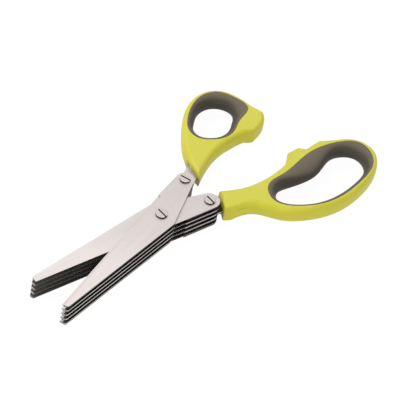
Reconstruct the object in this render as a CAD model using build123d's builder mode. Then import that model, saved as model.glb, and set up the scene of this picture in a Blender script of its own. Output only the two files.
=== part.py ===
"""Herb scissors: two stacks of five thin steel blades that shear between each other,
clamped at the tail by a screw through spacers, with moulded handles and soft loop liners.

The frame: the origin is the centre of the pivot nut's flat underside, Z is the pivot axis,
and X runs from the pivot towards the handles along the line that the closed scissors share.
Each half is drawn closed, beside the X axis, and then turned out by half of the opening.
Side +1 is the thumb half, at +Y, and side -1 is the finger half, at -Y.
"""
import os
from math import cos, radians, sin

from build123d import *

THUMB, FINGER = 1, -1

# The opening between the halves as they lie, in degrees
opening_angle = 15.0

# The blade stack, counted from the top
blade_count = 5
blade_thickness = 1.1
shear_gap = 0.06             # between the two blades of a shearing pair
pair_spacing = 0.9           # between one pair and the next: the pivot washer fills it
underside_flange = 1.2       # thickness of a nut's flat flange

# A blade seen from above, in the closed half's own place
blade_reach = 82.0           # pivot to tip
finger_tip_setback = 1.2     # the finger half's tips end this much short of the thumb half's
tip_width = 3.7
tip_crossing = 1.0           # how far the closed tip passes the middle line
tip_round = 1.4
edge_beside_pivot = 9.0      # cutting edge's end, level with the pivot
edge_end_reach = 9.3
spine_beside_pivot = 8.7
spine_bend_back = 1.5
spine_bend_round = 3.0
bevel_width = 1.7
bevel_land = 0.15            # thickness left at the cutting edge

# The clamp screw at the tail
clamp_reach = 27.5
clamp_offset = 5.3
thumb_tail_round = 4.6
finger_tail_round = 5.1
tang_reach = 27.0            # from the clamp screw into the handle
tang_root_width = 8.4
tang_end_width = 5.0
tang_angle = 16.5
tang_seat = 0.03             # all round the tang in its pocket

# Screws and barrel nuts
pivot_barrel_radius = 2.3
clamp_barrel_radius = 2.0
pivot_head_radius = 3.15
clamp_head_radius = 2.85
pivot_flange_radius = 3.9
clamp_flange_radius = 3.4
head_height = 1.1
head_bevel = 0.3
screw_radius = 1.25
thread_clearance = 0.05
thread_depth = 9.0
slot_width = 0.8
slot_depth = 0.6
pivot_slot_turn = -97.0      # degrees from the half's own X axis
thumb_clamp_slot_turn = -84.5
finger_clamp_slot_turn = -89.5
running_clearance = 0.05     # turning blades on the pivot barrel, and the faces beside them
fixed_clearance = 0.02       # pieces that are clamped round a barrel
pivot_washer_radius = 5.0
clamp_spacer_radius = 3.5

# Both handles
handle_height = 10.6
handle_edge_round = 1.8
handle_corner_round = 2.0
collar_cut_off = 1.4         # the rounded plate is this much longer before its collar is cut
liner_land_share = 0.08      # flat rim of a liner, as a share of its flare
liner_seat_share = 0.015     # the shell's opening stands this share outside the liner
overrun = 1.0                # how far a cut runs past what it cuts

# The thumb handle: its box beside the middle line
thumb_handle_start = 37.0
thumb_handle_length = 59.4
thumb_handle_width = 37.8

# The finger handle
finger_handle_start = 32.6
finger_handle_length = 91.2
finger_handle_width = 40.8

# Outlines as shares of the handle's length and width, measured from the front end and
# from the middle line outwards
thumb_palm_side_shares = [(0.000, 0.062), (0.189, 0.133), (0.373, 0.162), (0.540, 0.133),
                          (0.708, 0.056)]
thumb_stop_shares = [(0.708, 0.056), (0.761, 0.000), (0.858, 0.000)]
thumb_notch_shares = [(0.858, 0.000), (0.936, 0.037), (1.000, 0.133)]
thumb_loop_shares = [(1.000, 0.133), (0.992, 0.382), (0.986, 0.645), (0.901, 0.884),
                     (0.765, 0.988), (0.616, 0.979), (0.335, 0.747), (0.185, 0.551),
                     (0.074, 0.340)]
thumb_rim_shares = [(0.345, 0.498), (0.365, 0.665), (0.473, 0.812), (0.650, 0.915),
                    (0.804, 0.902), (0.902, 0.793), (0.950, 0.571), (0.932, 0.321),
                    (0.763, 0.263), (0.616, 0.200), (0.499, 0.228), (0.409, 0.338)]
thumb_throat_shares = [(0.406, 0.514), (0.429, 0.645), (0.516, 0.745), (0.660, 0.822),
                       (0.785, 0.770), (0.834, 0.681), (0.855, 0.572), (0.826, 0.445),
                       (0.738, 0.357), (0.620, 0.296), (0.529, 0.312), (0.447, 0.385)]

finger_palm_side_shares = [(0.043, 0.016), (0.190, 0.149), (0.322, 0.175), (0.431, 0.149),
                           (0.516, 0.102)]
finger_stop_shares = [(0.516, 0.102), (0.558, 0.000), (0.635, 0.000), (0.665, 0.071),
                      (0.777, 0.031)]
finger_loop_shares = [(0.777, 0.031), (0.843, 0.109), (0.932, 0.214), (0.991, 0.389),
                      (1.000, 0.544), (0.951, 0.736), (0.856, 0.874), (0.761, 0.951),
                      (0.585, 1.000), (0.411, 0.916), (0.307, 0.805), (0.237, 0.660),
                      (0.149, 0.436), (0.085, 0.387), (0.038, 0.388), (0.000, 0.370)]
finger_rim_shares = [(0.262, 0.519), (0.309, 0.302), (0.433, 0.254), (0.640, 0.158),
                     (0.835, 0.193), (0.958, 0.377), (0.940, 0.668), (0.772, 0.877),
                     (0.553, 0.936), (0.359, 0.787)]
finger_throat_shares = [(0.301, 0.511), (0.366, 0.364), (0.486, 0.393), (0.636, 0.407),
                        (0.815, 0.296), (0.897, 0.448), (0.885, 0.652), (0.756, 0.816),
                        (0.554, 0.857), (0.378, 0.734)]

# Levels that follow from the stack
pair_pitch = 2 * blade_thickness + shear_gap + pair_spacing
finger_stack_floor = underside_flange
thumb_stack_floor = finger_stack_floor + blade_thickness + shear_gap
stack_run = (blade_count - 1) * pair_pitch + blade_thickness
stack_middle = (finger_stack_floor + thumb_stack_floor + stack_run) / 2
handle_floor = stack_middle - handle_height / 2
middle_number = (blade_count + 1) // 2


def half_plane(side, level=0):
    """The flat plane of one half at a level, turned out by half of the opening."""
    turn = radians(side * opening_angle / 2)
    return Plane(origin=(0, 0, level), x_dir=(cos(turn), sin(turn), 0), z_dir=(0, 0, 1))


def stack_floor(side):
    """Height of the underside of a half's lowest blade."""
    return thumb_stack_floor if side == THUMB else finger_stack_floor


def blade_level(side, number):
    """Height of a blade's underside, number 1 on top."""
    return stack_floor(side) + (blade_count - number) * pair_pitch


def clamp_spot(side):
    """Place of the clamp screw in a half's own plane."""
    return (clamp_reach, side * clamp_offset)


def tip_reach(side):
    """Distance from the pivot to a half's tips."""
    return blade_reach if side == THUMB else blade_reach - finger_tip_setback


def spots(side, shares):
    """Outline shares turned into places in a half's own plane."""
    if side == THUMB:
        start, length, width = thumb_handle_start, thumb_handle_length, thumb_handle_width
    else:
        start, length, width = finger_handle_start, finger_handle_length, finger_handle_width
    return [(start + along * length, side * across * width) for along, across in shares]


def between(first, last, share):
    """Places that lie a share of the way from one outline's spots to another's."""
    return [(x + share * (to_x - x), y + share * (to_y - y))
            for (x, y), (to_x, to_y) in zip(first, last)]


def tang_corners(side):
    """The four corners of the tang, from the clamp screw into the handle."""
    turn = radians(tang_angle)
    root_x, root_y = clamp_reach, clamp_offset
    end_x, end_y = root_x + tang_reach * cos(turn), root_y + tang_reach * sin(turn)
    root_x_shift, root_y_shift = tang_root_width / 2 * sin(turn), tang_root_width / 2 * cos(turn)
    end_x_shift, end_y_shift = tang_end_width / 2 * sin(turn), tang_end_width / 2 * cos(turn)
    corners = [(root_x - root_x_shift, root_y + root_y_shift),
               (end_x - end_x_shift, end_y + end_y_shift),
               (end_x + end_x_shift, end_y - end_y_shift),
               (root_x + root_x_shift, root_y - root_y_shift)]
    return [(x, side * y) for x, y in corners]


def bevel_plane(side, level):
    """The upright plane across the inner end of a blade's cutting edge, on the face that
    slides on its partner: X inwards, Y away from the partner, normal towards the tip."""
    plane = half_plane(side, level + (0 if side == THUMB else blade_thickness))
    edge_end = Vector(edge_end_reach, side * edge_beside_pivot)
    forward = (Vector(-tip_reach(side), side * tip_crossing) - edge_end).normalized()
    inward = Vector(-forward.Y, forward.X) * side
    origin = plane.from_local_coords(edge_end)
    return Plane(origin=origin, x_dir=plane.from_local_coords(edge_end + inward) - origin,
                 z_dir=plane.from_local_coords(edge_end + forward) - origin)


def make_blade(side, number):
    """One leaf of the stack: a convex plate with a tip, a bend at the pivot and a round
    tail, ground to a bevel on the face away from its partner."""
    level = blade_level(side, number)
    bore_clearance = running_clearance if side == THUMB else fixed_clearance
    tail_round = thumb_tail_round if side == THUMB else finger_tail_round
    tip = (-tip_reach(side), side * tip_crossing)
    tip_back = (tip_round - tip_reach(side), side * (tip_crossing - tip_width + tip_round))
    bend = (-spine_bend_back, side * (spine_bend_round - spine_beside_pivot))
    edge_end = (edge_end_reach, side * edge_beside_pivot)
    edge_run = (Vector(edge_end) - Vector(tip)).length
    with BuildPart() as blade:
        with BuildSketch(half_plane(side, level)):
            with BuildLine():
                Line(edge_end, tip)
                CenterArc(tip_back, tip_round, 0, 360)
                CenterArc(bend, spine_bend_round, 0, 360)
                CenterArc(clamp_spot(side), tail_round, 0, 360)
            make_hull()
        extrude(amount=blade_thickness)
        with BuildSketch(bevel_plane(side, level)):
            with BuildLine():
                Polyline((bevel_width, blade_thickness), (0, bevel_land),
                         (-overrun, bevel_land), (-overrun, blade_thickness + overrun),
                         (bevel_width, blade_thickness + overrun), close=True)
            make_face()
        extrude(amount=edge_run + overrun, mode=Mode.SUBTRACT)
        if number == middle_number:
            with BuildSketch(half_plane(side, level)):
                with BuildLine():
                    Polyline(*tang_corners(side), close=True)
                make_face()
            extrude(amount=blade_thickness)
        with BuildSketch(half_plane(side, level)):
            Circle(pivot_barrel_radius + bore_clearance)
            with Locations(clamp_spot(side)):
                Circle(clamp_barrel_radius + fixed_clearance)
        extrude(amount=blade_thickness, mode=Mode.SUBTRACT)
    return blade.part


def run_on(corner, along, ahead):
    """Where a long side of a handle ends that is carried on past its collar."""
    return corner + along * (collar_cut_off / along.dot(ahead))


def make_handle(side, palm_side, stop, notch, loop, rim, throat):
    """A hard moulded handle: a plate with rounded edges and a flat collar where the blades
    come out, a loop's opening for the liner and a pocket for the tang."""
    opening = between(spots(side, rim), spots(side, throat), -liner_seat_share)
    near_corner, far_corner = Vector(*spots(side, palm_side)[0]), Vector(*spots(side, loop)[-1])
    front = (far_corner - near_corner).normalized()
    ahead = Vector(-front.Y, front.X) * side
    plane = half_plane(side, stack_middle)
    collar = Plane(origin=plane.from_local_coords((near_corner + far_corner) / 2),
                   z_dir=plane.from_local_coords(ahead) - plane.origin)
    with BuildPart() as handle:
        with BuildSketch(half_plane(side, handle_floor)):
            with BuildLine():
                palm_line = Spline(*spots(side, palm_side))
                Polyline(*spots(side, stop))
                if notch:
                    ThreePointArc(*spots(side, notch))
                loop_line = Spline(*spots(side, loop))
                Polyline(near_corner, run_on(near_corner, -(palm_line % 0), ahead),
                         run_on(far_corner, loop_line % 1, ahead), far_corner)
            make_face()
        extrude(amount=handle_height)
        corners = handle.edges().filter_by(Axis.Z)
        cut_corners = corners.filter_by(lambda edge: abs(collar.to_local_coords(
            edge.center()).Z) < collar_cut_off / 2)
        fillet(corners - cut_corners, handle_corner_round)
        rims = handle.faces().filter_by(Axis.Z)
        fillet(rims.edges(), handle_edge_round)
        split(bisect_by=collar, keep=Keep.BOTTOM)
        with BuildSketch(half_plane(side, handle_floor - overrun)):
            with BuildLine():
                Spline(*opening, periodic=True)
            make_face()
        extrude(amount=handle_height + 2 * overrun, mode=Mode.SUBTRACT)
        with BuildSketch(half_plane(side, blade_level(side, middle_number) - tang_seat)):
            with BuildLine():
                Polyline(*tang_corners(side), close=True)
            make_face()
            offset(amount=tang_seat)
        extrude(amount=blade_thickness + 2 * tang_seat, mode=Mode.SUBTRACT)
    return handle.part


def make_liner(side, rim, throat):
    """The soft liner of a loop: its outer wall follows the shell's opening, and its inner
    face flares from the throat at mid height out to a thin rim on both sides."""
    rim_spots, throat_spots = spots(side, rim), spots(side, throat)
    flare_spots = between(rim_spots, throat_spots, liner_land_share)
    with BuildPart() as liner:
        with BuildSketch(half_plane(side, handle_floor)):
            with BuildLine():
                Spline(*rim_spots, periodic=True)
            make_face()
        extrude(amount=handle_height)
        for level, outline in ((handle_floor, flare_spots), (stack_middle, throat_spots),
                               (handle_floor + handle_height, flare_spots)):
            with BuildSketch(half_plane(side, level)):
                with BuildLine():
                    Spline(*outline, periodic=True)
                make_face()
        loft(mode=Mode.SUBTRACT)
    return liner.part


def make_barrel_nut(plane, floor, barrel_radius, flange_radius, top):
    """A round nut: a flat flange below the stack and a barrel up through it, with the
    threaded bore open at the top."""
    with BuildPart() as nut:
        with BuildSketch(plane.offset(floor)):
            Circle(flange_radius)
        extrude(amount=underside_flange)
        chamfer(nut.edges().group_by(Axis.Z)[0], head_bevel)
        with BuildSketch(plane.offset(floor)):
            Circle(barrel_radius)
        extrude(amount=top - floor)
        with BuildSketch(plane.offset(top)):
            Circle(screw_radius + thread_clearance)
        extrude(amount=-(thread_depth + overrun), mode=Mode.SUBTRACT)
    return nut.part


def make_screw(plane, seat, head_radius, slot_turn):
    """A screw with a low round head and one driver slot."""
    with BuildPart() as screw:
        with BuildSketch(plane.offset(seat)):
            Circle(head_radius)
        extrude(amount=head_height)
        chamfer(screw.edges().group_by(Axis.Z)[-1], head_bevel)
        with BuildSketch(plane.offset(seat)):
            Circle(screw_radius)
        extrude(amount=-thread_depth)
        with BuildSketch(plane.offset(seat + head_height)):
            Rectangle(2 * head_radius + overrun, slot_width, rotation=slot_turn)
        extrude(amount=-slot_depth, mode=Mode.SUBTRACT)
    return screw.part


def make_rings(plane, floors, height, outer_radius, inner_radius):
    """A set of equal flat rings on one axis, at the given floors."""
    with BuildPart() as rings:
        for floor in floors:
            with BuildSketch(plane.offset(floor)):
                Circle(outer_radius)
                Circle(inner_radius, mode=Mode.SUBTRACT)
            extrude(amount=height)
    return rings.part


def clamp_plane(side):
    """The flat plane whose origin is on a clamp screw's axis, at the table's height."""
    plane = half_plane(side)
    return Plane(origin=plane.from_local_coords(clamp_spot(side)), x_dir=plane.x_dir,
                 z_dir=plane.z_dir)


pieces = {}

# The ten blades
for number in range(1, blade_count + 1):
    pieces[f"thumb_blade_{number}"] = make_blade(THUMB, number)
    pieces[f"finger_blade_{number}"] = make_blade(FINGER, number)

# The two handles with their liners
pieces["thumb_handle"] = make_handle(
    THUMB, thumb_palm_side_shares, thumb_stop_shares, thumb_notch_shares, thumb_loop_shares,
    thumb_rim_shares, thumb_throat_shares)
pieces["thumb_grip_liner"] = make_liner(THUMB, thumb_rim_shares, thumb_throat_shares)
pieces["finger_handle"] = make_handle(
    FINGER, finger_palm_side_shares, finger_stop_shares, None, finger_loop_shares,
    finger_rim_shares, finger_throat_shares)
pieces["finger_grip_liner"] = make_liner(FINGER, finger_rim_shares, finger_throat_shares)

# The pivot: a barrel nut from below, a screw from above and a washer under each pair
pivot_top = thumb_stack_floor + stack_run + running_clearance
pieces["pivot_barrel_nut"] = make_barrel_nut(
    Plane.XY, finger_stack_floor - underside_flange, pivot_barrel_radius, pivot_flange_radius,
    pivot_top)
pieces["pivot_screw"] = make_screw(Plane.XY, pivot_top, pivot_head_radius, pivot_slot_turn)
washer_floors = [blade_level(THUMB, number) + blade_thickness + running_clearance
                 for number in range(2, blade_count + 1)]
pieces["pivot_washers"] = make_rings(
    Plane.XY, washer_floors, pair_spacing - running_clearance, pivot_washer_radius,
    pivot_barrel_radius + fixed_clearance)

# The two clamps: a barrel nut, a screw and a spacer in each gap between the blades
for side, half, slot_turn in ((THUMB, "thumb", thumb_clamp_slot_turn),
                              (FINGER, "finger", finger_clamp_slot_turn)):
    floor = stack_floor(side) - underside_flange
    top = stack_floor(side) + stack_run
    pieces[f"{half}_clamp_barrel_nut"] = make_barrel_nut(
        clamp_plane(side), floor, clamp_barrel_radius, clamp_flange_radius, top)
    pieces[f"{half}_clamp_screw"] = make_screw(
        clamp_plane(side), top, clamp_head_radius, slot_turn)
    spacer_floors = [blade_level(side, number) + blade_thickness
                     for number in range(2, blade_count + 1)]
    pieces[f"{half}_clamp_spacers"] = make_rings(
        clamp_plane(side), spacer_floors, pair_pitch - blade_thickness, clamp_spacer_radius,
        clamp_barrel_radius + fixed_clearance)

os.makedirs("parts", exist_ok=True)
for name, piece in pieces.items():
    piece.label = name
    export_step(piece, f"parts/{name}.step")
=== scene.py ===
# %% [markdown]
# # Herb scissors, dressed
#
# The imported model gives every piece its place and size. This lesson puts the looks on it:
# brushed sheet steel, turned screw heads, satin moulded plastic and a soft matt liner.
# Lengths are in metres, in the model's own frame: the pivot is the Z axis and the handles
# are at +X.

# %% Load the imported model
from math import cos, pi, radians, sin

import bpy
import numpy as np
from mathutils import Matrix, Vector


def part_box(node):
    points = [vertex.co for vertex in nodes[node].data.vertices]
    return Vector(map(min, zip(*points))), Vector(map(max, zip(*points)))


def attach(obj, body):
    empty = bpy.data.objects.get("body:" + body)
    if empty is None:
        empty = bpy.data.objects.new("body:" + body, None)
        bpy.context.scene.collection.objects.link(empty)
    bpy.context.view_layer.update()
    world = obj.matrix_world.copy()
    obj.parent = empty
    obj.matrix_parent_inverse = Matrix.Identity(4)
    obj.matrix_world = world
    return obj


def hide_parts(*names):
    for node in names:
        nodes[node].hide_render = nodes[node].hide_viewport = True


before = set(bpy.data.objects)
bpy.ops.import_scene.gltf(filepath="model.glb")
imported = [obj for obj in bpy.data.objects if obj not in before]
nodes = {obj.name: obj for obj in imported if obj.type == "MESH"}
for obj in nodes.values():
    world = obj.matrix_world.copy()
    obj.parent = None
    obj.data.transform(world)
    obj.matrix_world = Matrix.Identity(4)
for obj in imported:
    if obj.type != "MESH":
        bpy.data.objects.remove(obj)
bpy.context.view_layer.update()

# %% [markdown]
# ## One wrapper for shader maths
#
# A material is a small program. Wired by hand, even `1 - mask` is a node with two fields, and
# a page of that hides the idea. A class that wraps an output socket and answers to Python's
# operators lets the idea stand as a formula, and each operator adds its own Math node. A bar
# between two masks reads as "or": it takes the larger of the two.

# %% Signals
class Signal:
    """A number that varies over a surface: an output socket that takes Python's operators."""

    def __init__(self, recipe, socket):
        self.recipe, self.socket = recipe, socket

    def math(self, operation, *values):
        return self.recipe.node(
            "ShaderNodeMath", {"operation": operation}, dict(enumerate(values)))

    def __add__(self, other): return self.math("ADD", self, other)
    def __sub__(self, other): return self.math("SUBTRACT", self, other)
    def __mul__(self, other): return self.math("MULTIPLY", self, other)
    def __mod__(self, other): return self.math("FLOORED_MODULO", self, other)
    def __or__(self, other): return self.math("MAXIMUM", self, other)
    def __radd__(self, other): return self.math("ADD", other, self)
    def __rsub__(self, other): return self.math("SUBTRACT", other, self)
    def __rmul__(self, other): return self.math("MULTIPLY", other, self)
    def __rmod__(self, other): return self.math("FLOORED_MODULO", other, self)
    def __ror__(self, other): return self.math("MAXIMUM", other, self)
    def __abs__(self): return self.math("ABSOLUTE", self)
    def sine(self): return self.math("SINE", self)


print("a signal answers to + - * % | abs and sine")

# %% [markdown]
# All other nodes come from one method that takes a type, its settings and its inputs. A
# recipe is a tree that is being written with it, and the world's sky is one too. A finish is
# a material's recipe, and its own methods are short names for the nodes it uses most.

# %% Recipes and finishes
class Recipe:
    """A node tree that is being written."""

    def __init__(self, tree):
        self.tree = tree

    def node(self, kind, settings, inputs, output=0):
        """Adds any node: settings first, then the values or links of its sockets."""
        made = self.tree.nodes.new(kind)
        for setting, value in settings.items():
            setattr(made, setting, value)
        for socket, value in inputs.items():
            if isinstance(value, Signal):
                self.tree.links.new(value.socket, made.inputs[socket])
            else:
                made.inputs[socket].default_value = value
        return Signal(self, made.outputs[output])

    def show(self, surface, output):
        """Joins a surface to the tree's output node, which is given by name."""
        self.tree.links.new(surface.socket, self.tree.nodes[output].inputs["Surface"])


class Finish(Recipe):
    """A material's tree, with a Principled shader at its end. What is the same all over the
    surface is set on the shader's own sockets."""

    # The Mix node has sockets of one name for numbers, vectors and colours. These are the
    # numbers of its colour sockets.
    mix_low, mix_high, mixed = 6, 7, 2

    def __init__(self, name, **constants):
        self.material = bpy.data.materials.new(name)
        self.material.use_nodes = True
        super().__init__(self.material.node_tree)
        self.shader = self.tree.nodes["Principled BSDF"]
        for socket, value in constants.items():
            self.shader.inputs[socket.replace("_", " ")].default_value = value

    def feed(self, socket, value):
        """Leads what varies over the surface to one of the shader's sockets."""
        self.tree.links.new(value.socket, self.shader.inputs[socket])

    def place(self):
        """Where a point of the surface is on the piece, in metres."""
        return self.node("ShaderNodeTexCoord", {}, {}, "Object")

    def facing(self):
        """Which way the surface looks, as a vector of length 1."""
        return self.node("ShaderNodeTexCoord", {}, {}, "Normal")

    def axis(self, vector, number):
        """One of a vector's three numbers: 0 for x, 1 for y, 2 for z."""
        return self.node("ShaderNodeSeparateXYZ", {}, {0: vector}, number)

    def vector(self, operation, *values, output=0):
        return self.node(
            "ShaderNodeVectorMath", {"operation": operation}, dict(enumerate(values)), output)

    def noise(self, where, scale, detail=2.0, roughness=0.5):
        return self.node("ShaderNodeTexNoise", {}, {
            "Vector": where, "Scale": scale, "Detail": detail, "Roughness": roughness})

    def ramp(self, value, start, end):
        """0 below start, 1 above end, and smooth between."""
        return self.node("ShaderNodeMapRange", {"interpolation_type": "SMOOTHSTEP"}, {
            "Value": value, "From Min": start, "From Max": end})

    def blend(self, share, low, high):
        """A colour that goes from low to high with the share. Each of the two is a plain
        colour or a signal."""
        low, high = ((*colour, 1.0) if isinstance(colour, tuple) else colour
                     for colour in (low, high))
        return self.node("ShaderNodeMix", {"data_type": "RGBA"}, {
            "Factor": share, self.mix_low: low, self.mix_high: high}, self.mixed)

    def bump(self, height, depth):
        """Tilts the shading normal as a relief of that depth would."""
        self.feed("Normal", self.node("ShaderNodeBump", {}, {
            "Height": height, "Distance": depth, "Strength": 1.0}))


def coat(piece, material):
    """Gives a whole piece one material, in place of any that it had."""
    piece.data.materials.clear()
    piece.data.materials.append(material)


print("recipes and finishes ready")

# %% [markdown]
# ## Brushed sheet steel
#
# The leaves are stamped from thin sheet that was brushed along its length, so its colour and
# its gloss change quickly across the leaf and slowly along it. An image of scratches would
# do, but it would stretch on the thin edges. Noise that is squeezed in one direction is the
# same idea with no picture: the point's place is turned into the half's own direction, then
# multiplied by a small number along the leaf and a large one across it.

# %% Brushing
half_opening = radians(7.5)
fine_brush, broad_brush = (60, 5200, 5200), (25, 420, 420)
cloud_scale = 55.0
scratch_depth = 0.000004


def brushed(steel, side):
    """A leaf's own directions, its fine scratches, and its streaks: 0.45 x fine noise + 0.3 x
    broad noise + 0.25 x clouds, the first two squeezed across the leaf."""
    along = steel.node("ShaderNodeMapping", {}, {
        "Vector": steel.place(), "Rotation": (0, 0, -side * half_opening)})
    fine = steel.noise(
        steel.vector("MULTIPLY", along, fine_brush), scale=1.0, detail=3.0, roughness=0.6)
    broad = steel.noise(steel.vector("MULTIPLY", along, broad_brush), scale=1.0)
    clouds = steel.noise(along, cloud_scale)
    return along, fine, 0.45 * fine + 0.3 * broad + 0.25 * clouds


print("across the leaf the fine noise is", fine_brush[1] // fine_brush[0], "times as quick")

# %% [markdown]
# Only the outside of the stack is brushed. The faces inside it are painted near black as the
# shade of the narrow gaps between the leaves, but for a thin rim along the cutting edge that is
# left bright as a painted highlight, and that painted shade is paler beside the cutting edge. A
# stamped edge has a bright sheared band above a dull broken one, and each leaf's whole edge is
# painted darker by its own share, as shade. The edges that face the handles, the cutting edge's
# land, the finger half's tang and the tips' ends are painted darker as shade too. Painting each
# of these by hand would take a map for every leaf. Masks need none: the surface's own normal,
# its height within the leaf and its distance from the cutting edge tell the zones apart. After
# the cutting edge's two ends, each pair of numbers below is where a mask begins to change and
# where it has changed, so the zones have soft ends.

# %% Zones of a leaf
edge_end, edge_tip = np.array([0.0093, 0.0090]), np.array([-0.0814, 0.0010])
flat_faces, top_faces, under_faces = (0.3, 0.5), (0.90, 0.97), (0.4, 0.6)
handle_side, tip_side = (0.20, 0.40), (0.60, 0.85)
behind_blade, on_tang = (-0.004, -0.003), (0.0320, 0.0328)
sheared_band = (0.00045, 0.00070)
rim_width, land_width, ground_width = (0.0005, 0.0008), (0.0003, 0.0005), (0.0020, 0.0035)
# how dark the tips' ends are painted, as shade, on each half
tip_end_shade = {"thumb": 0.6, "finger": 0.1}


def leaf_zones(steel, half, side, along, top_inside, underside_inside, edge_painted_shade):
    """How much painted shade, how much paler that shade is, and how much painted shade towards
    the handles each place takes. The painted shade, which also dulls the gloss, is the largest
    of five masks: the faces inside the stack but for a thin rim, the edges' broken band with
    each leaf's own edge share, the cutting edge's land, the finger half's tang, and the tips'
    ends."""
    x, y, z = (steel.axis(along, number) for number in range(3))
    to_handles, up = steel.axis(steel.facing(), 0), steel.axis(steel.facing(), 2)
    flat, behind = steel.ramp(abs(up), *flat_faces), steel.ramp(x, *behind_blade)
    edge, blade = 1 - flat, 1 - behind

    # painted shade: the finger half's tang, in the shadow of the stack and collar, is painted
    # dark; the thumb's stays bare
    tang = steel.ramp(x, *on_tang)
    bare_tang = tang * (1 if half == "thumb" else 0)
    # painted shade: the faces inside the stack are painted near black, as the shade of the gaps
    inside = (top_inside * steel.ramp(up, *top_faces)
              + underside_inside * steel.ramp(-1 * up, *under_faces)) * (1 - bare_tang)

    lowest, highest = (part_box(f"{half}_blade_{number}")[0][2] for number in (5, 1))
    level = (z - lowest) % ((highest - lowest) / 4)
    to_tips = edge * steel.ramp(-1 * to_handles, *tip_side)
    # the lower band of a stamped edge is its real broken part; each leaf's edge share on top is
    # painted shade
    broken = edge * (1 - to_tips * behind) * (
        edge_painted_shade + (1 - edge_painted_shade) * (1 - steel.ramp(level, *sheared_band)))

    run = (edge_tip - edge_end) / np.linalg.norm(edge_tip - edge_end)
    from_edge = (x - edge_end[0]) * -run[1] + (side * y - edge_end[1]) * run[0]
    # painted highlight: a thin rim of those faces along the cutting edge is kept bright
    rim = top_inside * (1 - steel.ramp(from_edge, *rim_width)) * flat * behind
    # painted shade: the cutting edge's land is painted dark, as the shade line along the edge
    land = edge * (1 - steel.ramp(from_edge, *land_width)) * blade
    # painted shade: the tips' ends are painted dark, more on the thumb half
    ends = to_tips * blade * tip_end_shade[half]

    # painted shade, with the stamped edges' real broken band in it: it darkens the colour and
    # roughens the gloss
    dull_and_painted_shade = inside * (1 - rim) | broken | land + (tang - bare_tang) | ends
    # the painted shade inside the stack is paler beside the cutting edge
    ground = (1 - steel.ramp(from_edge, *ground_width)) * blade
    # painted shade: the stamped edges that face the handles are painted grey
    handle_side_shade = edge * steel.ramp(to_handles, *handle_side) * (1 - tang)
    return dull_and_painted_shade, ground, handle_side_shade


print("cutting edge in mm:", round(np.linalg.norm(edge_tip - edge_end) * 1000, 1))

# %% [markdown]
# The finish lays the zones over each other. The bare steel is painted lighter towards the tips,
# as light; the painted shade inside the stack is paler beside the cutting edge, and the painted
# shade of the edges that face the handles lies over both.

# %% Leaf steel
leaf_colours = {
    "bare": ((0.54, 0.48, 0.468), (0.775, 0.71, 0.695)),
    # painted light: paler colours for the bare steel towards the tips
    "tip": ((0.64, 0.58, 0.565), (0.90, 0.835, 0.81)),
    # painted shade for the faces inside the stack, then its paler grey beside the cutting edge
    "skin": ((0.024, 0.022, 0.021), (0.062, 0.057, 0.054)),
    "ground": ((0.150, 0.140, 0.132), (0.260, 0.243, 0.230)),
    # painted shade for the stamped edges that face the handles
    "handle_side_shade": ((0.16, 0.145, 0.14), (0.42, 0.385, 0.375))}
# painted light: where the bare steel turns to its lighter tip colours
painted_light_to_tips = (-0.015, 0.060)


def brushed_steel(half, side, top_inside, underside_inside, edge_painted_shade):
    """The faces that lie inside the stack are named by 1 or 0, and the stamped edges' own
    painted shade is a share of the painted shade inside the stack."""
    steel = Finish(f"{half}_leaf_steel_{top_inside}{underside_inside}", Metallic=1.0)
    along, fine, streak = brushed(steel, side)
    dull_and_painted_shade, ground, handle_side_shade = leaf_zones(
        steel, half, side, along, top_inside, underside_inside, edge_painted_shade)
    colour = {zone: steel.blend(streak, *pair) for zone, pair in leaf_colours.items()}
    # painted light: the bare steel's colour turns lighter towards the tips
    to_tips = steel.ramp(-1 * steel.axis(along, 0), *painted_light_to_tips)
    bare = steel.blend(to_tips, colour["bare"], colour["tip"])
    # painted shade of the faces inside the stack, paler beside the cutting edge
    skin = steel.blend(ground, colour["skin"], colour["ground"])
    steel.feed("Base Color", steel.blend(handle_side_shade, steel.blend(dull_and_painted_shade, bare, skin), colour["handle_side_shade"]))
    steel.feed("Roughness", 0.30 + 0.16 * streak + 0.15 * dull_and_painted_shade)
    steel.bump(fine, scratch_depth)
    return steel.material


# painted shade: how dark each leaf's stamped edges are painted, for the top, middle and bottom
# leaves
top_leaf_edge_shade, middle_leaf_edge_shade = 0.85, 0.1
bottom_leaf_edge_shade = {"thumb": 0.25, "finger": 0.75}
for half, side in (("thumb", 1), ("finger", -1)):
    for numbers, top_inside, underside_inside, edge_painted_shade in (
            ((1,), 0, 1, top_leaf_edge_shade), ((2, 3, 4), 1, 1, middle_leaf_edge_shade),
            ((5,), 1, 0, bottom_leaf_edge_shade[half])):
        steel = brushed_steel(half, side, top_inside, underside_inside, edge_painted_shade)
        for number in numbers:
            coat(nodes[f"{half}_blade_{number}"], steel)
print("brushed leaves:", sum("_blade_" in name for name in nodes))

# %% [markdown]
# ## Turned steel
#
# Screws, nuts and spacers come off a lathe, which leaves fine rings round their axis. The
# distance from the axis, run through a sine, draws such rings. Each screw has its own axis,
# which is the middle of its box, so one function makes a finish for a given centre. Only the
# flat ends are polished: the walls, the bevels and the slot are painted dark, as shade. The
# rings between the leaves are painted near black as the shade of the gaps, and whatever looks
# up on them is painted darker still. They have no slot, so its top is given as a metre up, and
# every such face counts as lying in it.

# %% Fasteners and spacers
polished_dark, polished_bright = (0.48, 0.43, 0.42), (0.80, 0.73, 0.71)
# painted shade: the rings between the leaves are painted near black, as the shade of the gaps
between_dark, between_bright = (0.03, 0.027, 0.026), (0.09, 0.082, 0.08)
# painted shade for the walls and slots
wall_shade_dark, wall_shade_bright = (0.020, 0.015, 0.014), (0.070, 0.058, 0.055)
ring_width, ring_depth = 0.00016, 0.000003
wear_scale = 900.0
not_wall, looks_up = (0.4, 0.6), (0.8, 0.95)
slot_full, slot_starts = 0.0004, 0.0003
above_all = 1.0


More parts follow.
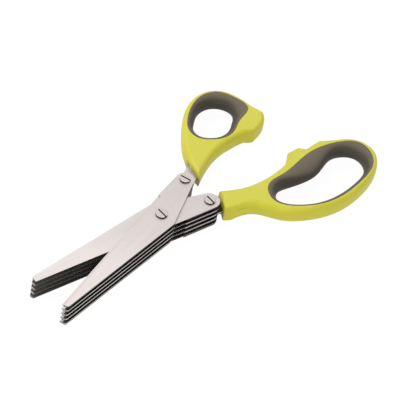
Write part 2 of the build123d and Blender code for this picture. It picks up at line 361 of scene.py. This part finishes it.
def turned_steel(name, centre, slot_top, dark, bright):
    """Rings are the sine of 2 pi x distance from the axis / ring width. Painted shade darkens
    the walls, and what looks up below the head's top, which is the slot."""
    steel = Finish(name, Metallic=1.0)
    out = steel.vector("SUBTRACT", steel.place(), (centre[0], centre[1], 0))
    reach = steel.vector("LENGTH", steel.vector("MULTIPLY", out, (1, 1, 0)), output="Value")
    rings = (reach * (2 * pi / ring_width)).sine()
    wear = steel.noise(steel.place(), wear_scale, detail=3.0, roughness=0.6)
    up, level = steel.axis(steel.facing(), 2), steel.axis(steel.place(), 2)
    wall = 1 - steel.ramp(abs(up), *not_wall)
    below = 1 - steel.ramp(level, slot_top - slot_full, slot_top - slot_starts)
    # painted shade on the walls and in the slot
    shaded_walls_and_slot = wall | steel.ramp(up, *looks_up) * below
    bare = steel.blend(0.5 * wear + 0.15 * rings + 0.25, dark, bright)
    wall_shade = steel.blend(wear, wall_shade_dark, wall_shade_bright)
    steel.feed("Base Color", steel.blend(shaded_walls_and_slot, bare, wall_shade))
    steel.feed("Roughness", 0.22 + 0.18 * wear + 0.2 * shaded_walls_and_slot)
    steel.bump(rings + wear, ring_depth)
    return steel.material


turned = []
for place in ("pivot", "thumb_clamp", "finger_clamp"):
    low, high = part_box(f"{place}_screw")
    centre = (low + high) / 2
    polished = turned_steel(
        f"{place}_turned", centre, high[2], polished_dark, polished_bright)
    between = turned_steel(f"{place}_rings", centre, above_all, between_dark, between_bright)
    rings = "pivot_washers" if place == "pivot" else f"{place}_spacers"
    for name, steel in ((f"{place}_screw", polished), (f"{place}_barrel_nut", polished),
                        (rings, between)):
        coat(nodes[name], steel)
        turned.append(name)
print("turned pieces:", len(turned))

# %% [markdown]
# ## Curves for the moulded parts
#
# A handle is drawn flat, as a mould maker would: an outline, and inside it the loop's rim.
# The rim is one smooth curve through a few chosen spots, and the outline is made of such
# curves and of straight lines. Bezier curves would need handles at each spot; a cubic that
# passes through the spots needs nothing more. Its second derivatives solve one small set of
# equations, which numpy does at once.

# %% A smooth curve through spots
def curve(spots, closed=False, steps=40):
    """A cubic through the spots: on each span the second derivative runs in a straight line
    between the spots' own, and those make slope and bend continuous at every spot. With h
    the length of a span, a spot's row reads: h before x bend before + 2 x (h before + h after)
    x bend here + h after x bend after = 6 x change of slope. An open curve's ends have none."""
    here = np.array(spots, float)
    after = np.roll(here, -1, 0)
    span = np.linalg.norm(after - here, axis=1)[:, None]
    span_before = np.roll(span, 1, 0)
    slope = (after - here) / span
    one = np.eye(len(here))
    rows = (2 * (span + span_before) * one + span * np.roll(one, 1, 1)
            + span_before * np.roll(one, -1, 1))
    change = 6 * (slope - np.roll(slope, 1, 0))
    if not closed:
        rows[[0, -1]], change[[0, -1]] = one[[0, -1]], 0
    bend = np.linalg.solve(rows, change)
    bend_after = np.roll(bend, -1, 0)
    part = (np.arange(steps) / steps)[None, :, None]
    h, p, q, m, n = (value[:, None] for value in (span, here, after, bend, bend_after))
    line = (m * h * h * (1 - part) ** 3 / 6 + n * h * h * part ** 3 / 6
            + (p - m * h * h / 6) * (1 - part) + (q - n * h * h / 6) * part)
    if closed:
        return line.reshape(-1, 2)
    return np.vstack([line[:-1].reshape(-1, 2), here[-1:]])


square = [(0, 0), (1, 0), (1, 1), (0, 1)]
print("points on a closed curve through four spots:", len(curve(square, closed=True)))

# %% [markdown]
# Four small tools work on such a line once it is made of points: one walks it in equal
# steps, one rounds what varies along it, one finds which way is in, and one measures the
# area, whose sign tells which way round the line runs.

# %% Tools for closed lines
def evenly(line, count):
    """The closed line walked in equal steps. Columns after x and y, if any, are carried
    along."""
    ring = np.vstack([line, line[:1]])
    steps = np.linalg.norm(np.diff(ring[:, :2], axis=0), axis=1)
    walk = np.concatenate([[0], np.cumsum(steps)])
    stops = np.linspace(0, walk[-1], count, endpoint=False)
    return np.stack([np.interp(stops, walk, column) for column in ring.T], 1)


def soften(values, length, reach):
    """Rounds a closed run of values over a reach: each of its waves is damped by a bell curve
    of the wave's number."""
    waves = np.fft.fftfreq(len(values), 1 / len(values))[:, None]
    damping = np.exp(-0.5 * (2 * pi * waves * reach / length) ** 2)
    return np.fft.ifft(np.fft.fft(values, axis=0) * damping, axis=0).real


def inward(line):
    """Unit normals of a closed line, to its left, which is inside when it runs anticlockwise."""
    along = np.roll(line, -1, 0) - np.roll(line, 1, 0)
    along /= np.linalg.norm(along, axis=1)[:, None]
    return np.stack([-along[:, 1], along[:, 0]], 1)


def area(line):
    """Signed area: half the sum of x times next y minus next x times y."""
    after = np.roll(line, -1, 0)
    return 0.5 * np.sum(line[:, 0] * after[:, 1] - after[:, 0] * line[:, 1])


print("area of a square of side 1:", area(np.array(square)))

# %% [markdown]
# ## The spots of each handle
#
# They are shares of the handle's own length and width, from its front end and from the
# middle line outwards. Each stretch of the outline also says how its edge is rounded, in
# millimetres: how far the rounding reaches in over the top, and how far it drops down the
# side. The collar's front comes first and is nearly sharp, the palm side is a broad roll,
# and the stops are crisper. The front is painted dark round the tang, as the leaf stack's
# shadow: how much, and up to which height, is each handle's own.

# %% Outlines, rims and throats
handle_height = 0.0106
handle_middle = 0.00865
millimetre = 0.001


class Handle:
    """A handle's place on its half, the painted shade on its collar's front, and three lines in
    shares: the outline in stretches, the loop's rim and the liner's throat."""

    def __init__(self, half, side, start, length, width, dirt, dirt_top,
                 stretches, rim, throat):
        self.half, self.side, self.dirt, self.dirt_top = half, side, dirt, dirt_top
        self.start, self.length, self.width = start, length, width
        self.stretches, self.rim, self.throat = stretches, rim, throat

    def spots(self, shares):
        """Shares turned into places: start + along x length, and side x across x width, both
        turned about the pivot to the half's own angle."""
        along, across = np.array(shares).T
        x, y = self.start + along * self.length, self.side * across * self.width
        turn = self.side * half_opening
        return np.stack([x * cos(turn) - y * sin(turn), x * sin(turn) + y * cos(turn)], 1)


thumb = Handle(
    "thumb", side=1, start=0.037, length=0.0594, width=0.0378, dirt=0.85, dirt_top=0.0132,
    stretches=[
        ("line", 0.5, 0.5, [(0.074, 0.340), (-0.018, 0.043)]),
        ("curve", 3.0, 4.4, [(-0.018, 0.043), (0.189, 0.133), (0.373, 0.162),
                             (0.540, 0.133), (0.708, 0.056)]),
        ("line", 1.2, 1.8, [(0.708, 0.056), (0.761, 0.000), (0.858, 0.000)]),
        ("curve", 2.4, 2.8, [(0.858, 0.000), (0.936, 0.037), (1.000, 0.133)]),
        ("curve", 2.6, 4.3, [(1.000, 0.133), (0.992, 0.382), (0.986, 0.645),
                             (0.901, 0.884), (0.765, 0.988), (0.616, 0.979),
                             (0.335, 0.747), (0.185, 0.551), (0.074, 0.340)])],
    rim=[(0.345, 0.498), (0.365, 0.665), (0.473, 0.812), (0.650, 0.915), (0.804, 0.902),
         (0.902, 0.793), (0.950, 0.571), (0.932, 0.321), (0.763, 0.263), (0.616, 0.200),
         (0.499, 0.228), (0.409, 0.338)],
    throat=[(0.406, 0.514), (0.429, 0.645), (0.516, 0.745), (0.660, 0.822), (0.785, 0.770),
            (0.834, 0.681), (0.855, 0.572), (0.826, 0.445), (0.738, 0.357), (0.620, 0.296),
            (0.529, 0.312), (0.447, 0.385)])
finger = Handle(
    "finger", side=-1, start=0.0326, length=0.0912, width=0.0408, dirt=0.32, dirt_top=0.0122,
    stretches=[
        ("line", 0.5, 0.5, [(-0.008, 0.303), (0.050, 0.026)]),
        ("curve", 2.2, 3.6, [(0.050, 0.026), (0.190, 0.149), (0.322, 0.175),
                             (0.431, 0.149), (0.516, 0.102)]),
        ("line", 1.2, 1.8, [(0.516, 0.102), (0.558, 0.000), (0.635, 0.000),
                            (0.665, 0.071), (0.777, 0.031)]),
        ("curve", 2.6, 4.3, [(0.777, 0.031), (0.843, 0.109), (0.932, 0.214),
                             (0.991, 0.389), (1.000, 0.544), (0.951, 0.736),
                             (0.856, 0.874), (0.761, 0.951), (0.585, 1.000),
                             (0.411, 0.916), (0.307, 0.805), (0.237, 0.660),
                             (0.149, 0.438), (0.094, 0.397), (0.040, 0.381)]),
        ("line", 1.8, 2.8, [(0.040, 0.381), (-0.008, 0.303)])],
    rim=[(0.262, 0.519), (0.309, 0.302), (0.433, 0.254), (0.640, 0.158), (0.835, 0.193),
         (0.958, 0.377), (0.940, 0.668), (0.772, 0.877), (0.553, 0.936), (0.359, 0.787)],
    throat=[(0.301, 0.511), (0.366, 0.364), (0.486, 0.393), (0.636, 0.407), (0.815, 0.296),
            (0.897, 0.448), (0.885, 0.652), (0.756, 0.816), (0.554, 0.857), (0.378, 0.734)])
print("handles in mm:", [(handle.half, round(handle.length / millimetre, 1),
                          round(handle.width / millimetre, 1)) for handle in (thumb, finger)])

# %% [markdown]
# ## A mesh from a grid
#
# Every moulded piece here is a ring: the outline closes on itself, and so does the section
# that is carried round it. So its points form a grid that wraps both ways, and the faces
# are four index arrays, each a rolled copy of the first. The enclosed volume tells whether
# the faces look outwards.

# %% Grid to mesh
sharp_corner = radians(40)


def new_object(name, data):
    """An object at the origin, in the scene."""
    made = bpy.data.objects.new(name, data)
    bpy.context.scene.collection.objects.link(made)
    return made


def ring_mesh(name, grid):
    """Each face joins a point to the ones beside it and above it. The volume is a sixth of the
    sum, over all faces, of the first corner times the two cross products of the others."""
    rows, columns = grid.shape[:2]
    here = np.arange(rows * columns).reshape(rows, columns)
    beside, above = np.roll(here, -1, 1), np.roll(here, -1, 0)
    quads = np.stack([here, beside, np.roll(beside, -1, 0), above], -1).reshape(-1, 4)
    points = grid.reshape(-1, 3)
    a, b, c, d = (points[quads[:, corner]] for corner in range(4))
    volume = np.sum(a * (np.cross(b, c) + np.cross(c, d))) / 6
    if volume < 0:
        quads = quads[:, ::-1]
    mesh = bpy.data.meshes.new(name)
    mesh.from_pydata(points.tolist(), [], quads.tolist())
    mesh.polygons.foreach_set("use_smooth", np.ones(len(quads), bool))
    mesh.set_sharp_from_angle(angle=sharp_corner)
    print(name, "faces:", len(quads), "volume in mm3:", round(abs(volume) * 1e9))
    return new_object(name, mesh)


print("a corner is sharp from", round(np.degrees(sharp_corner)), "degrees")

# %% [markdown]
# ## The moulded shells
#
# The shell is hard plastic with every long edge rolled, and its collar is cut off flat
# where the leaves go in. A bevel modifier on a flat plate would give one radius everywhere
# and pinch it at the collar's corners. Here the height is a function of the place: it falls
# along a quarter ellipse as the outline comes near, and the ellipse's width and drop are the
# outline's own at that spot.

# %% How far a place is from a line
def distance_to(line, places):
    """Each place is dropped at right angles on each piece of the line, no further than its
    ends, and the nearest foot counts. Gives the distance and where on the line it is."""
    start, step = line[:-1], np.diff(line, axis=0)
    along = np.einsum("pmk,mk->pm", places[:, None] - start[None], step) / np.sum(step ** 2, 1)
    along = np.clip(along, 0, 1)
    gap = np.linalg.norm(start[None] + along[:, :, None] * step[None] - places[:, None], axis=2)
    nearest = gap.argmin(1)
    row = np.arange(len(places))
    return gap[row, nearest], nearest + along[row, nearest]


def fallen(distance, width, drop):
    """A quarter ellipse: drop x (1 - root of (1 - (1 - distance / width) squared))."""
    return drop * (1 - np.sqrt(1 - (1 - np.clip(distance / width, 0, 1)) ** 2))


print("a roll 3 mm wide and 2 mm deep has fallen, 1 mm in:", round(fallen(1, 3, 2), 2))

# %% [markdown]
# The grid's columns go round the outline, and each crosses the wall to the loop's rim. The
# rim's nearest place would be the plain partner, but it jumps where the wall's thickness
# changes, so the match is rounded over a few millimetres of the outline.

# %% The outline and the rim beside it
lip = 0.00025
wall_rounding, match_rounding = 0.001, 0.006


def shell_outline(handle, count):
    """The closed outline, anticlockwise, from the collar's front on. Columns: x, y, width and
    drop of the roll, and 1 on the front."""
    runs = []
    for number, (kind, width, drop, shares) in enumerate(handle.stretches):
        line = curve(handle.spots(shares)) if kind == "curve" else handle.spots(shares)
        marks = [width * millimetre, drop * millimetre, number == 0]
        runs.append(np.hstack([line, np.broadcast_to(marks, (len(line), 3))])[:-1])
    outline = evenly(np.vstack(runs), count)
    if area(outline[:, :2]) < 0:
        outline = outline[::-1]
        outline = np.roll(outline, np.sum(outline[:, 4] > 0.5), 0)
    return outline


def rim_beside(handle, outline, length):
    """For each place on the outline: its partner on the rim, the top of the lip, which lies
    the lip's width outside the rim, and the wall's thickness. A rounded match falls between
    two points of the rim, and the partner is their mix by its share."""
    columns = len(outline)
    rim = evenly(curve(handle.spots(handle.rim), closed=True), columns * 2)
    rim = rim if area(rim) > 0 else rim[::-1]
    gap = np.linalg.norm(outline[:, None] - rim[None], axis=2)
    wall = soften(gap.min(1)[:, None], length, wall_rounding)[:, 0]
    nearest = np.unwrap(gap.argmin(1) * pi / columns) * columns / pi
    even = np.arange(columns) * 2.0
    matched = even + soften((nearest - even)[:, None], length, match_rounding)[:, 0]
    whole, share = np.floor(matched).astype(int), (matched % 1)[:, None]
    at, after = whole % (2 * columns), (whole + 1) % (2 * columns)
    partner = rim[at] * (1 - share) + rim[after] * share
    return partner, partner - inward(rim)[at] * lip, wall


for handle in (thumb, finger):
    loop = area(curve(handle.spots(handle.rim), closed=True))
    print(handle.half, "loop's opening in cm2:", round(abs(loop) * 1e4, 1))

# %% [markdown]
# A column's rows are shares of the way from the outline to the lip. They stand close where
# the top still curves, and evenly over the flat. For the collar the outline's two long sides
# count as if they ran on past the front, so the front cuts a section that shows the roll.

# %% Rows across the wall, and how far each has fallen
corner_length, run_on = 0.0012, 0.004
columns_for_direction = 3
front_roll = 0.0008
least_facing, most_rolled = 0.35, 0.92


def wall_rows(outline, lip_line, width, rolled_rows=11, flat_rows=12):
    """Share = width x (1 - cos turn) / way to the lip for a turn from 0 to 90 degrees, then
    equal steps up to 1. Width is measured square to the outline, so a column that crosses
    at a slant goes further."""
    across = lip_line - outline
    reach = np.linalg.norm(across, axis=1)
    facing = np.clip(np.sum(across / reach[:, None] * inward(outline), 1), least_facing, 1)
    turn = np.linspace(0, pi / 2, rolled_rows)[:, None]
    rolled = np.minimum(width * (1 - np.cos(turn)) / facing / reach, most_rolled * np.sin(turn))
    part = np.linspace(0, 1, flat_rows + 1)[1:, None]
    part = np.concatenate([rolled, rolled[-1:] + (1 - rolled[-1:]) * part])
    return outline[None] + part[:, :, None] * across[None]


def top_fall(outline, front, length, plan, width, drop):
    """At each place of the plan: the larger fall of the two, towards the long sides, which
    leave out the front's corners, and towards the front. And how much the place belongs to
    the front: 1 - distance behind it / the front's roll, from 1 on it to 0. The front is
    given as the number of the outline's first places that lie on it."""
    places, columns = plan.reshape(-1, 2), len(outline)
    spare = int(corner_length * columns / length) + 1
    sides = outline[front + spare:columns - spare]
    first = sides[0] - sides[columns_for_direction]
    last = sides[-1] - sides[-1 - columns_for_direction]
    line = np.vstack([sides[0] + first / np.linalg.norm(first) * run_on, sides,
                      sides[-1] + last / np.linalg.norm(last) * run_on])
    distance, spot = distance_to(line, places)
    index = np.arange(columns)[front + spare:columns - spare]
    index = np.concatenate([index[:1], index, index[-1:]])
    local = (np.interp(spot, np.arange(len(index)), values[index]) for values in (width, drop))

    corner, other = outline[spare], outline[front - spare]
    cut = (other - corner) / np.linalg.norm(other - corner)
    behind = (places - corner) @ np.array([-cut[1], cut[0]])
    fall = np.maximum(fallen(distance, *local), fallen(behind, front_roll, front_roll))
    on_front = np.clip(1 - behind / front_roll, 0, 1)
    return fall.reshape(plan.shape[:2]), on_front.reshape(plan.shape[:2])


print("the collar's sides run on for", round(run_on / millimetre, 1), "mm")

# %% [markdown]
# The shell is the top and its mirror image below, with a row inside the lip that closes
# both on the liner. Its painted shade, the leaf stack's shadow on the collar's front, is the
# front's share, less and less towards the top.

# %% Shell surface
edge_rounding, outline_rounding = 0.0010, 0.0004
widest_roll = 0.85
dirt_fade = 0.0022


def shell_grid(handle, columns=720):
    """Columns go round the outline. Rows run from inside the loop's rim over the top to the
    outline, and the same below. Gives the points, and for each how much it belongs to the
    collar's flat front."""
    outline = shell_outline(handle, columns)
    front = int(np.sum(outline[:, 4] > 0.5))
    length = columns * np.linalg.norm(outline[1, :2] - outline[0, :2])
    width, drop = soften(outline[:, 2:4], length, edge_rounding).T
    outline = soften(outline[:, :2], length, outline_rounding)
    rim, lip_line, wall = rim_beside(handle, outline, length)
    width = np.minimum(width, widest_roll * wall)
    plan = wall_rows(outline, lip_line, width)
    fall, on_front = top_fall(outline, front, length, plan, width, drop)

    half = handle_height / 2
    inside = np.dstack([rim[None], np.full((1, columns), half - lip)])
    upper = np.concatenate([inside, np.dstack([plan, half - fall])[::-1]])
    lower = upper[::-1] * (1, 1, -1)
    on_front = np.concatenate([np.zeros((1, columns)), on_front[::-1]])
    grid = np.concatenate([upper, lower]) + (0, 0, handle_middle)
    return grid, np.concatenate([on_front, on_front[::-1]])


shells = {}
for handle in (thumb, finger):
    grid, on_front = shell_grid(handle)
    shell = ring_mesh(f"{handle.half}_shell", grid)
    # painted shade: the collar's front is darkened round the tang, as the leaf stack's shadow
    low = np.clip((handle.dirt_top - grid[:, :, 2]) / dirt_fade, 0, 1)
    mark = shell.data.attributes.new("dirt", "FLOAT", "POINT")
    mark.data.foreach_set("value", (on_front * handle.dirt * low).ravel().astype(np.float32))
    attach(shell, f"{handle.half}_half")
    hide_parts(f"{handle.half}_handle")
    shells[handle.half] = shell

# %% [markdown]
# ## The soft liners
#
# The liner is moulded into the shell's opening. Its inner face is a roll: thick at mid
# height, where it presses on the finger, and thin at both rims. In section that is half an
# ellipse between the rim and the throat, a little slimmer than a true one, whose power would
# be a half. The throat's own curve gives the roll its width all the way round, so the bump
# between the fingers needs no piece of its own.

# %% Liner surface
roll_power = 0.62
clear_of_shell = 0.00005


def liner_grid(handle, steps=36, rows=28):
    """Rows down the roll: rim + (throat - rim) x (1 - height share squared) to the roll's
    power. The wall behind it is the step from the last row back to the first, and stands a
    hair clear of the shell's."""
    rim = curve(handle.spots(handle.rim), closed=True, steps=steps)
    throat = curve(handle.spots(handle.throat), closed=True, steps=steps)
    shift = inward(rim) * (clear_of_shell if area(rim) > 0 else -clear_of_shell)
    level = np.sin(np.linspace(pi / 2, -pi / 2, rows))[:, None, None]
    bulge = (1 - level ** 2) ** roll_power
    plan = rim[None] + shift[None] + (throat - rim)[None] * bulge
    height = np.broadcast_to(level[:, :, 0] * handle_height / 2, plan.shape[:2])
    return np.dstack([plan, height]) + (0, 0, handle_middle)


liners = {}
for handle in (thumb, finger):
    liner = ring_mesh(f"{handle.half}_liner", liner_grid(handle))
    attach(liner, f"{handle.half}_half")
    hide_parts(f"{handle.half}_grip_liner")
    liners[handle.half] = liner

# %% [markdown]
# ## Satin plastic and soft rubber
#
# Both come out of a mould whose walls were given a fine texture, so neither is a mirror.
# The hard plastic keeps a sheen that the texture breaks up a little; its colour drifts by a
# hair, as thick and thin walls cool differently. The rubber is matt and takes dust in its
# grain. Two noises do each: a fine one for the relief, a broad one for the drift.

# %% Moulded finishes
drift_scale = 70.0


def moulded(name, wall, top, flat_from, gloss, grain, depth, front_shade_colours=None, **constants):
    """A moulded skin. Wall and top each give a dark and a bright colour: what faces up is
    painted paler, as light, and the walls darker, as shade. Where colours for the front's
    painted shade are given, the piece takes them as far as its own attribute for that shade
    says."""
    skin = Finish(name, **constants)
    fine = skin.noise(skin.place(), grain, roughness=0.6)
    broad = skin.noise(skin.place(), drift_scale)
    drift = 0.3 * fine + 0.7 * broad
    # painted light and shade: faces that look up take the top colours, the rest the wall colours
    up = skin.ramp(skin.axis(skin.facing(), 2), flat_from, 1.0)
    colour = skin.blend(up, skin.blend(drift, *wall), skin.blend(drift, *top))
    # painted shade on the collar's front, as far as the attribute says
    if front_shade_colours:
        dirt = skin.node("ShaderNodeAttribute", {"attribute_name": "dirt"}, {}, "Fac")
        colour = skin.blend(dirt * (0.75 + 0.25 * fine), colour, skin.blend(broad, *front_shade_colours))
    skin.feed("Base Color", colour)
    skin.feed("Roughness", gloss + 0.14 * (fine - 0.5) + 0.06 * (broad - 0.5))
    skin.bump(fine, depth)
    return skin.material


# painted light: the tops are paler and bluer than the walls
lime = moulded(
    "lime_plastic", wall=((0.635, 0.595, 0.032), (0.735, 0.690, 0.052)),
    top=((0.640, 0.610, 0.064), (0.740, 0.705, 0.100)), flat_from=0.80, gloss=0.42,
    grain=2600.0, depth=0.000006, front_shade_colours=((0.13, 0.105, 0.030), (0.20, 0.165, 0.045)),
    IOR=1.49, Specular_IOR_Level=0.38)
# painted light and shade: the liner's tops are painted far paler than its walls
soft = moulded(
    "soft_grip", wall=((0.046, 0.037, 0.025), (0.070, 0.058, 0.041)),
    top=((0.132, 0.108, 0.072), (0.185, 0.155, 0.111)), flat_from=0.68, gloss=0.72,
    grain=3200.0, depth=0.00001, IOR=1.45, Sheen_Weight=0.15, Sheen_Roughness=0.5)
for half in shells:
    coat(shells[half], lime)
    coat(liners[half], soft)
print("moulded finishes on", len(shells) + len(liners), "pieces")

# %% [markdown]
# ## The table, the sky and the lamps
#
# The scissors lie on a white table. To the camera and to reflections the table is mostly a
# plain white light, so it stays as pale as the paper of a catalogue, and the rest of it is
# ordinary white paint, which keeps a soft shadow. The sky does the same: it shows as plain
# white, and lights the scissors evenly at about half that strength.

# %% Table and sky
table_reach = 4
paper_strength, paper_share = 1.06, 0.9
sky_light, sky_seen = 0.55, 1.0


def seen_directly(recipe):
    """1 for rays that show a surface itself: from the camera, by reflection or through glass."""
    camera_ray, glossy_ray, through_ray = (
        recipe.node("ShaderNodeLightPath", {}, {}, ray)
        for ray in ("Is Camera Ray", "Is Glossy Ray", "Is Transmission Ray"))
    return camera_ray | glossy_ray | through_ray


corners = [(-1, -1), (1, -1), (1, 1), (-1, 1)]
table_mesh = bpy.data.meshes.new("table")
table_mesh.from_pydata(
    [(x * table_reach, y * table_reach, 0) for x, y in corners], [], [(0, 1, 2, 3)])
table = new_object("table", table_mesh)
paint = Finish("white_table", Base_Color=(0.85, 0.85, 0.85, 1), Roughness=0.8)
paper = paint.node("ShaderNodeEmission", {}, {"Strength": paper_strength})
paint.show(paint.node("ShaderNodeMixShader", {}, {
    0: seen_directly(paint) * paper_share,
    1: Signal(paint, paint.shader.outputs[0]), 2: paper}), "Material Output")
coat(table, paint.material)

world = bpy.data.worlds.new("sky")
bpy.context.scene.world = world
world.use_nodes = True
sky = Recipe(world.node_tree)
fill, backdrop = (
    sky.node("ShaderNodeBackground", {}, {"Color": (1, 1, 1, 1), "Strength": strength})
    for strength in (sky_light, sky_seen))
sky.show(sky.node("ShaderNodeMixShader", {}, {
    0: seen_directly(sky), 1: fill, 2: backdrop}), "World Output")
print("table", 2 * table_reach, "m wide, sky at", sky_light)

# %% [markdown]
# A large lamp above and behind gives the tops their light. A weaker one low in front lights
# the stacked edges, which would be as dark as the gaps between them under the first alone.

# %% Lamps
def lamp(name, place, size, power):
    """A round lamp that looks at the origin."""
    light = bpy.data.lights.new(name, "AREA")
    light.shape, light.size, light.energy = "DISK", size, power
    holder = new_object(name, light)
    holder.location = place
    holder.rotation_mode = "QUATERNION"
    holder.rotation_quaternion = (-Vector(place)).to_track_quat("-Z", "Y")
    print(name, "lamp, watts:", power)


lamp("key", place=(-0.45, 0.75, 1.5), size=1.0, power=14.0)
lamp("front", place=(-1.0, -1.1, 0.7), size=0.9, power=3.2)

# %% [markdown]
# ## The camera
#
# It stands far off with a long lens, at the azimuth, elevation and roll at which the
# mirrored halves, the stacked edges and the screw heads fall where a photograph of such
# scissors shows them.

# %% Camera
azimuth, elevation, roll = radians(-54.15), radians(46.82), radians(10.57)
target, distance = Vector((0.02816, -0.00148, 0.008)), 2.688
back = Vector((sin(azimuth) * cos(elevation), -cos(azimuth) * cos(elevation), sin(elevation)))
level = Vector((cos(azimuth), sin(azimuth), 0))
right = level * cos(roll) + back.cross(level) * sin(roll)
lens = bpy.data.cameras.new("camera")
lens.sensor_width, lens.lens = 36.0, 477.0
lens.clip_end = 20.0
camera = new_object("camera", lens)
camera.matrix_world = Matrix.Translation(target + back * distance) @ Matrix(
    (right, back.cross(right), back)).transposed().to_4x4()
bpy.context.scene.camera = camera
bpy.context.scene.view_settings.view_transform = "Standard"
print("camera at", [round(value, 3) for value in camera.matrix_world.translation])
